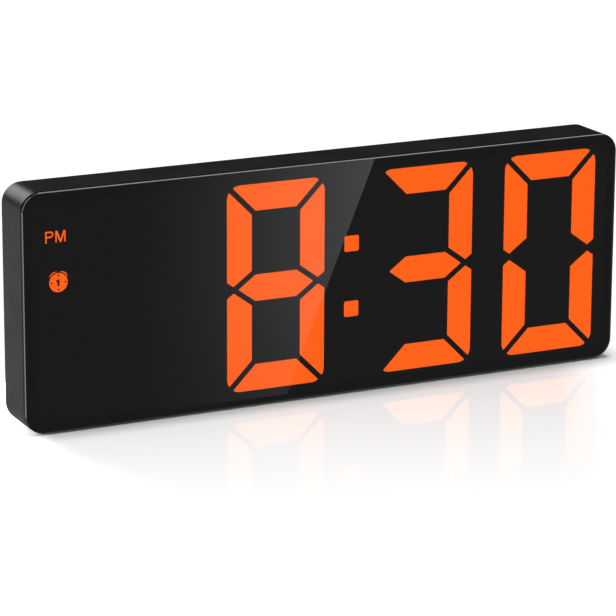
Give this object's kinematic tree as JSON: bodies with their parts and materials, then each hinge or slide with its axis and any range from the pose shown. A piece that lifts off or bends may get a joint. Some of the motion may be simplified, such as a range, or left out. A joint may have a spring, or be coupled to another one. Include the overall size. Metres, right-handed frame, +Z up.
{
  "type": "desk clock",
  "caption": "Slim rectangular desk clock with a glossy dark front panel, large glowing orange segment digits, push buttons and a battery box on its back.",
  "frame": {"origin": "middle of the footprint, on the surface that the clock stands on", "axes": "+X along the face, to the right as seen from the front; +Y to the back; +Z up"},
  "size_m": [0.1644, 0.022, 0.0604],
  "materials": {
    "smoked_acrylic": "dark clear acrylic, polished",
    "case_plastic": "black moulded plastic, satin",
    "cover_plastic": "black moulded plastic, fine texture",
    "door_plastic": "black moulded plastic, fine texture",
    "button_plastic": "black moulded plastic",
    "plunger_plastic": "red moulded plastic",
    "adhesive_tape": "black foam adhesive",
    "mask_ink": "black printed film",
    "reflector_plastic": "white moulded plastic",
    "lit_diffuser": "milky plastic, lit orange from behind",
    "dark_diffuser": "grey translucent plastic, unlit",
    "circuit_board": "green solder mask",
    "led_package": "white package with a yellowish lens",
    "chip_resin": "black moulded resin",
    "resistor_body": "black film on ceramic",
    "crystal_can": "drawn metal can",
    "buzzer_shell": "black moulded plastic",
    "switch_shell": "black moulded plastic",
    "socket_steel": "plated steel",
    "socket_insulator": "black moulded plastic",
    "black_screw": "blackened steel",
    "zinc_screw": "zinc-plated steel",
    "cell_jacket": "plain dark jacket, bare metal ends",
    "spring_steel": "nickel-plated wire",
    "contact_metal": "nickel-plated strip",
    "foot_rubber": "black rubber"
  },
  "bodies": {
    "case": {"front_panel": "smoked_acrylic", "housing": "case_plastic", "rear_cover": "cover_plastic", "panel_tape": "adhesive_tape", "mask_film": "mask_ink", "reflector_frame": "reflector_plastic", "hour_diffusers": "lit_diffuser", "minute_tens_diffusers": "lit_diffuser", "minute_diffusers": "lit_diffuser", "colon_diffusers": "lit_diffuser", "pm_diffuser": "lit_diffuser", "alarm_diffuser": "lit_diffuser", "hour_tens_diffusers": "dark_diffuser", "minute_tens_dark_diffusers": "dark_diffuser", "minute_dark_diffuser": "dark_diffuser", "display_board": "circuit_board", "segment_leds": "led_package", "clock_chip": "chip_resin", "driver_chip": "chip_resin", "board_resistors": "resistor_body", "crystal": "crystal_can", "buzzer": "buzzer_shell", "switch_bodies": "switch_shell", "usb_shell": "socket_steel", "usb_tongue": "socket_insulator", "case_screws": "black_screw", "board_screws": "zinc_screw", "battery_cells": "cell_jacket", "battery_springs": "spring_steel", "contact_plates": "contact_metal", "foot_pads": "foot_rubber"},
    "set_key": {"set_button": "button_plastic", "set_plunger": "plunger_plastic"},
    "up_key": {"up_button": "button_plastic", "up_plunger": "plunger_plastic"},
    "down_key": {"down_button": "button_plastic", "down_plunger": "plunger_plastic"},
    "alarm_key": {"alarm_button": "button_plastic", "alarm_plunger": "plunger_plastic"},
    "door": {"battery_door": "door_plastic"}
  },
  "joints": [
    {"name": "set_press", "type": "slide", "parent": "case", "child": "set_key", "axis": [0, -1, 0], "range_m": [0, 0.0005], "stiffness_N_per_m": 600, "springref_m": -0.001},
    {"name": "up_press", "type": "slide", "parent": "case", "child": "up_key", "axis": [0, -1, 0], "range_m": [0, 0.0005], "stiffness_N_per_m": 600, "springref_m": -0.001},
    {"name": "down_press", "type": "slide", "parent": "case", "child": "down_key", "axis": [0, -1, 0], "range_m": [0, 0.0005], "stiffness_N_per_m": 600, "springref_m": -0.001},
    {"name": "alarm_press", "type": "slide", "parent": "case", "child": "alarm_key", "axis": [0, -1, 0], "range_m": [0, 0.0005], "stiffness_N_per_m": 600, "springref_m": -0.001},
    {"name": "door_hinge", "type": "hinge", "parent": "case", "child": "door", "pos_m": [0.006, 0.00975, 0.0043], "axis": [-1, 0, 0], "range_deg": [0, 90]}
  ]
}
